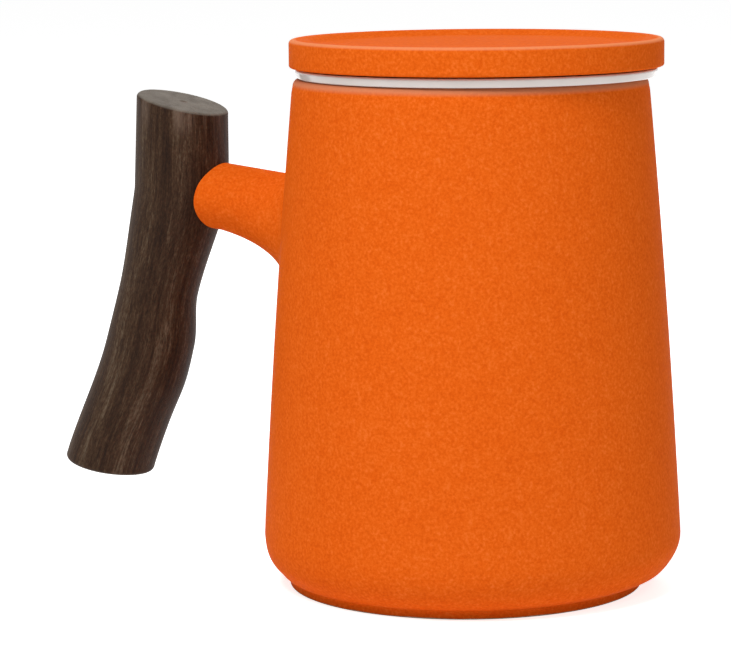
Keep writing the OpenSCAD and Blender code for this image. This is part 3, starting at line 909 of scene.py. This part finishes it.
def walnut_look():
    """Dark streaks along the grain, paler patches near the top end, and end grain with a painted
    sheen.
    """
    look = Look("oiled_walnut", Specular_IOR_Level=0.08)
    grain = look.node("ShaderNodeAttribute", attribute_name="grain").outputs["Vector"]
    figure, streak, fleck, pores = (
        look.noise(look.stretched(grain, (1, 1, stretch)), *values)
        for stretch, *values in (FIGURE, STREAK, FLECK, PORES))
    colour = look.ramp(look.weighted((figure, 0.4), (streak, 0.35), (fleck, 0.25)), WOOD_TONES)
    along = look.node("ShaderNodeSeparateXYZ", {0: grain}).outputs[2]
    # Paler patches near the grip's top end
    paler_mask = look.math("MULTIPLY", look.remap(along, *(d - GRIP_UP for d in WOOD_PALE_BAND)),
                     look.remap(figure, *PALE_FIGURE))
    colour = look.mix(look.math("MULTIPLY", paler_mask, WOOD_SHARE), colour, WOOD_PALE)
    # Painted sheen: the end grain at both ends of the grip is given a pale grey colour
    cut = look.math("MAXIMUM", look.remap(along, *(d - GRIP_UP for d in END_GRAIN_EDGE)),
                    look.remap(along, *(GRIP_DOWN - d for d in END_GRAIN_EDGE)))
    colour = look.mix(cut, colour, look.mix(look.spread(figure), END_GRAIN_SHEEN_DARK, END_GRAIN_SHEEN))
    dark = look.remap(pores, *PORE_RANGE, 0.0, PORE_SHARE)
    height = look.math("SUBTRACT", look.math("MULTIPLY", streak, 0.5), dark)
    return look.set(Base_Color=look.mix(dark, colour, WOOD_PORE),
                    Roughness=look.spread(streak, *WOOD_ROUGH),
                    Normal=look.bump(height, WOOD_DEPTH, 0.8))


def steel_look():
    look = Look("brushed_steel", Metallic=1.0)
    lines = look.noise(look.stretched(look.place(), (0.05, 1, 1)), *BRUSHING)
    return look.set(Base_Color=look.mix(look.spread(lines), STEEL_DARK, STEEL),
                    Roughness=look.spread(lines, *STEEL_ROUGH),
                    Normal=look.bump(lines, STEEL_DEPTH))


# ---------------------------------------------------------------- pieces

def finish_piece(piece, body, node):
    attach(piece, body)
    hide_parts(node)


def bore(piece, centre, axis, r, length):
    """Cuts a round hole about an axis, from its middle, and merges near-double points."""
    mesh = bpy.data.meshes.new("bore")
    work = bmesh.new()
    bmesh.ops.create_cone(work, cap_ends=True, segments=BORE_SIDES, radius1=r, radius2=r,
                          depth=length, matrix=aimed(centre, axis))
    work.to_mesh(mesh)
    work.free()
    cutter = add_object("bore", mesh)
    cut = piece.modifiers.new("bore", "BOOLEAN")
    cut.object, cut.operation, cut.solver = cutter, "DIFFERENCE", "EXACT"
    bpy.context.view_layer.update()
    graph = bpy.context.evaluated_depsgraph_get()
    result = bpy.data.meshes.new_from_object(piece.evaluated_get(graph))
    piece.modifiers.remove(cut)
    work = bmesh.new()
    work.from_mesh(result)
    bmesh.ops.remove_doubles(work, verts=work.verts, dist=WELD)
    work.to_mesh(result)
    work.free()
    piece.data = result
    bpy.data.objects.remove(cutter)
    bpy.data.meshes.remove(mesh)


def store_grain(piece, points, grain):
    """Gives each vertex its place in the straightened wood, from the nearest point."""
    near = KDTree(len(points))
    for i, point in enumerate(points):
        near.insert(point * MM, i)
    near.balance()
    places = [c for v in piece.data.vertices for c in grain[near.find(v.co)[1]]]
    piece.data.attributes.new("grain", "FLOAT_VECTOR", "POINT").data.foreach_set("vector", places)


def make_grip():
    skin, grain = grip_skin(0)
    piece = skin.object("walnut_grip", walnut_look(), 50)
    length = STUD_IN_STUB + STUD_IN_GRIP + 2 * GLUE_GAP
    middle = stub_point(0, SOCKET_START + length / 2, 0)
    bore(piece, middle * MM, STUB_AXIS, SOCKET_R * MM, length * MM)
    store_grain(piece, skin.points, grain)
    return piece


finish_piece(mug_skin().object("glazed_body", body_look()), "mug", "mug_body")
finish_piece(make_grip(), "mug", "handle_grip")
finish_piece(lid_skin().object("glazed_lid", lid_look()), "lid", "lid")
finish_piece(infuser_skin().object("porcelain_infuser", porcelain_look()),
             "infuser", "infuser")

stud_look = steel_look()
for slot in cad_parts["handle_stud"].material_slots:
    slot.material = stud_look


# ---------------------------------------------------------------- floor, light and camera

# Metres, and strengths where 1 is white. The floor lies a little under the foot, and diffuse rays
# shorter than FLOOR_NEAR pass it.
FLOOR_SIZE, FLOOR_DROP, FLOOR_NEAR = 30, 0.00005, 0.0025
FLOOR_PAINT, FLOOR_GLOW, FLOOR_LIFT = 0.88, 0.76, 0.2
AMBIENT = 0.25

# Square soft lamps: (name, degrees to the right of the camera, degrees up, size in metres,
# watts, whether it shows in reflections)
LAMPS = [("key", -24, 54, 0.45, 10.5, True), ("fill", 43, 45, 0.28, 1.3, True),
         ("back", 168, 34, 0.6, 4.4, False)]
LAMP_AIM_H, LAMP_OUT = 0.07, 1.2


def seen_directly(look):
    """1 for what the camera sees straight on, in a reflection or through glass, else 0."""
    path = look.node("ShaderNodeLightPath").outputs
    seen = look.math("MAXIMUM", path["Is Camera Ray"], path["Is Glossy Ray"])
    return look.math("MAXIMUM", seen, path["Is Transmission Ray"])


def make_floor():
    """A pale floor that can be looked through from below and lets sky light reach the underside."""
    bpy.ops.mesh.primitive_plane_add(size=FLOOR_SIZE, location=(0, 0, -FLOOR_DROP))
    floor = bpy.context.object
    floor.name = "floor"
    material = bpy.data.materials.new("white_floor")
    material.use_nodes = True
    look = Nodes(material.node_tree)
    strength = look.remap(seen_directly(look), 0.0, 1.0, FLOOR_LIFT, FLOOR_GLOW)
    glow = look.node("ShaderNodeEmission", {"Color": (1, 1, 1, 1), "Strength": strength})
    paint = look.node("ShaderNodeBsdfDiffuse", {"Color": (*[FLOOR_PAINT] * 3, 1)})
    both = look.node("ShaderNodeAddShader", {0: glow.outputs[0], 1: paint.outputs[0]})
    path = look.node("ShaderNodeLightPath").outputs
    near = look.math("LESS_THAN", path["Ray Length"], FLOOR_NEAR)
    under = look.math("MAXIMUM", look.node("ShaderNodeNewGeometry").outputs["Backfacing"],
                      look.math("MULTIPLY", near, path["Is Diffuse Ray"]))
    clear = look.node("ShaderNodeBsdfTransparent")
    seen = look.node("ShaderNodeMixShader", {0: under, 1: both.outputs[0], 2: clear.outputs[0]})
    look.node("ShaderNodeOutputMaterial", {"Surface": seen.outputs[0]})
    floor.data.materials.append(material)


def make_world():
    world = bpy.data.worlds.new("studio")
    world.use_nodes = True
    bpy.context.scene.world = world
    look = Nodes(world.node_tree)
    strength = look.remap(seen_directly(look), 0.0, 1.0, AMBIENT, 1.0)
    sky = look.node("ShaderNodeBackground", {"Color": (1, 1, 1, 1), "Strength": strength})
    look.node("ShaderNodeOutputWorld", {"Surface": sky.outputs[0]})


def make_lamp(name, turn, rise, size, power, glossy):
    """One of the LAMPS, aimed at the mug."""
    turn, rise = CAMERA_TURN - pi / 2 + radians(turn), radians(rise)
    away = Vector((cos(turn) * cos(rise), sin(turn) * cos(rise), sin(rise)))
    light = bpy.data.lights.new(name, "AREA")
    light.shape, light.size, light.energy = "SQUARE", size, power
    lamp = add_object(name, light)
    lamp.matrix_world = aimed(Vector((0, 0, LAMP_AIM_H)) + away * LAMP_OUT, away)
    lamp.visible_glossy = glossy


def make_camera():
    level = Vector((cos(CAMERA_YAW), -sin(CAMERA_YAW), 0))
    forward = Vector((sin(CAMERA_YAW) * cos(CAMERA_PITCH), cos(CAMERA_YAW) * cos(CAMERA_PITCH),
                      sin(CAMERA_PITCH)))
    upright = level.cross(forward)
    right = level * cos(CAMERA_ROLL) + upright * sin(CAMERA_ROLL)
    up = upright * cos(CAMERA_ROLL) - level * sin(CAMERA_ROLL)
    place = Matrix((right, up, -forward)).transposed().to_4x4()
    place.translation = Vector((0, -CAMERA_OUT, CAMERA_HIGH)) * MM
    data = bpy.data.cameras.new("camera")
    data.lens, data.sensor_width, data.sensor_fit = LENS, SENSOR, "HORIZONTAL"
    data.clip_start, data.clip_end = CLIP_NEAR, CLIP_FAR
    camera = add_object("camera", data)
    camera.matrix_world = Matrix.Rotation(CAMERA_TURN, 4, "Z") @ place
    bpy.context.scene.camera = camera


make_floor()
make_world()
for values in LAMPS:
    make_lamp(*values)
make_camera()
bpy.context.scene.view_settings.view_transform = "Standard"
